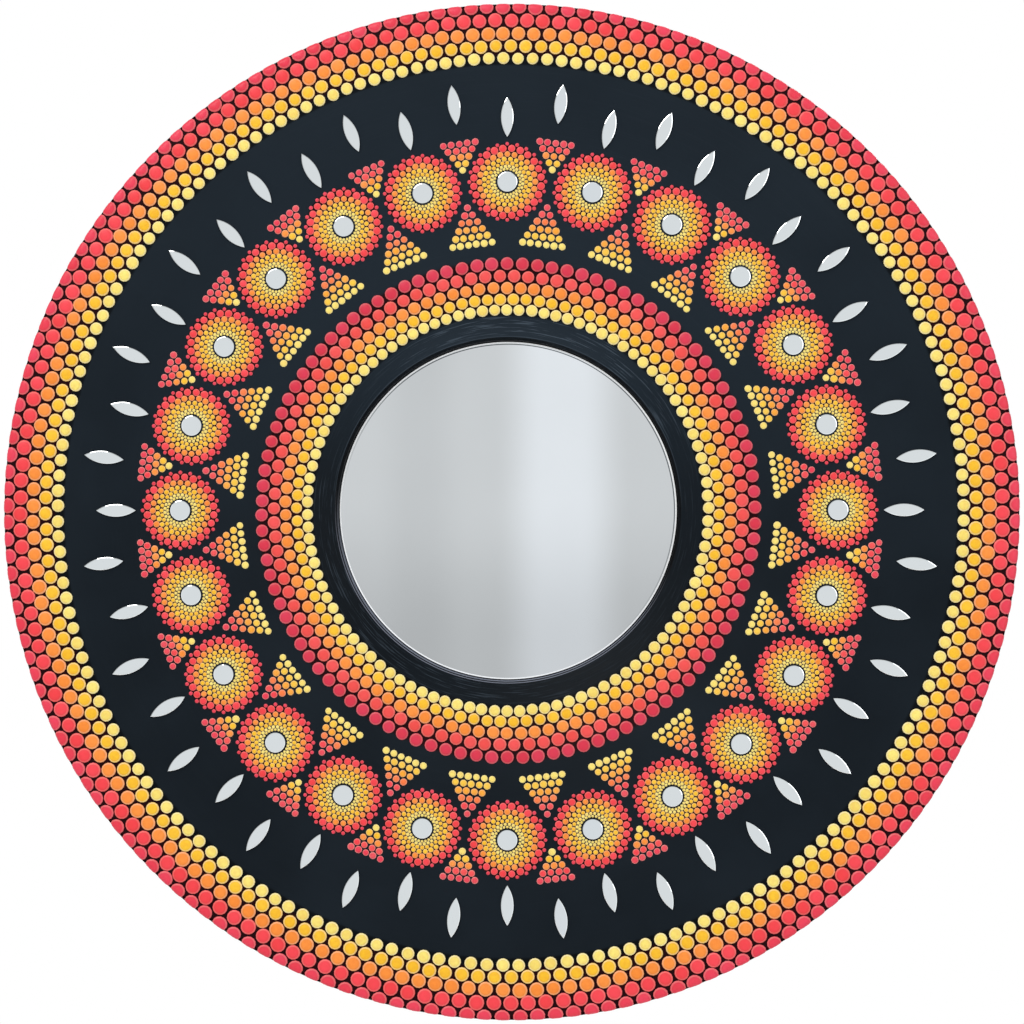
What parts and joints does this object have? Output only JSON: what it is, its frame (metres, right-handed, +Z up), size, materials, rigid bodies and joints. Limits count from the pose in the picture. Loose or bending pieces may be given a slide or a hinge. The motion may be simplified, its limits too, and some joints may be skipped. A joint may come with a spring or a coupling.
{
  "type": "wall mirror",
  "caption": "Round wall mirror: a black-painted ring board with graded rows of raised paint dots, inlaid small mirrors, a recessed round glass, a back panel and swinging D-ring hangers.",
  "frame": {"origin": "centre of the back panel's outer face, where the mirror meets the wall", "axes": "+Z up as it hangs, +X to the right seen from the front, -Y out of the painted face and +Y into the wall"},
  "size_m": [0.6107, 0.0192, 0.6108],
  "materials": {
    "black_paint": "blue-black satin paint on fibreboard",
    "panel_board": "black-painted fibreboard",
    "mirror_glass": "silvered float glass with a ground edge",
    "small_mirror": "thin silvered craft mirror",
    "pad_foam": "closed-cell foam",
    "screw_steel": "zinc plated",
    "hanger_steel": "nickel plated",
    "ring_steel": "nickel plated wire",
    "paint_pale": "satin acrylic paint",
    "paint_amber": "satin acrylic paint",
    "paint_orange": "satin acrylic paint",
    "paint_red": "satin acrylic paint",
    "paint_crimson": "satin acrylic paint"
  },
  "bodies": {
    "board": {"ring_board": "black_paint", "back_panel": "panel_board", "panel_screws": "screw_steel", "glass": "mirror_glass", "glass_pads": "pad_foam", "rim_dots_pale": "paint_pale", "rim_dots_amber": "paint_amber", "rim_dots_orange": "paint_orange", "rim_dots_red": "paint_red", "rim_dots_crimson": "paint_crimson", "ring_dots_pale": "paint_pale", "ring_dots_amber": "paint_amber", "ring_dots_orange": "paint_orange", "ring_dots_coral": "paint_red", "ring_dots_crimson": "paint_crimson", "roundels": "paint_orange", "inner_stacks": "paint_amber", "outer_stacks": "paint_orange", "round_mirrors": "small_mirror", "leaf_mirrors_inner": "small_mirror", "leaf_mirrors_outer": "small_mirror", "hanger_strap_left": "hanger_steel", "hanger_strap_right": "hanger_steel", "hanger_screws": "screw_steel"},
    "left_ring": {"hanger_ring_left": "ring_steel"},
    "right_ring": {"hanger_ring_right": "ring_steel"}
  },
  "joints": [
    {"name": "left_ring_swing", "type": "hinge", "parent": "board", "child": "left_ring", "pos_m": [-0.19, -0.0035, 0.14955], "axis": [1, 0, 0], "range_deg": [0, 174.68]},
    {"name": "right_ring_swing", "type": "hinge", "parent": "board", "child": "right_ring", "pos_m": [0.19, -0.0035, 0.14955], "axis": [1, 0, 0], "range_deg": [0, 174.68]}
  ]
}
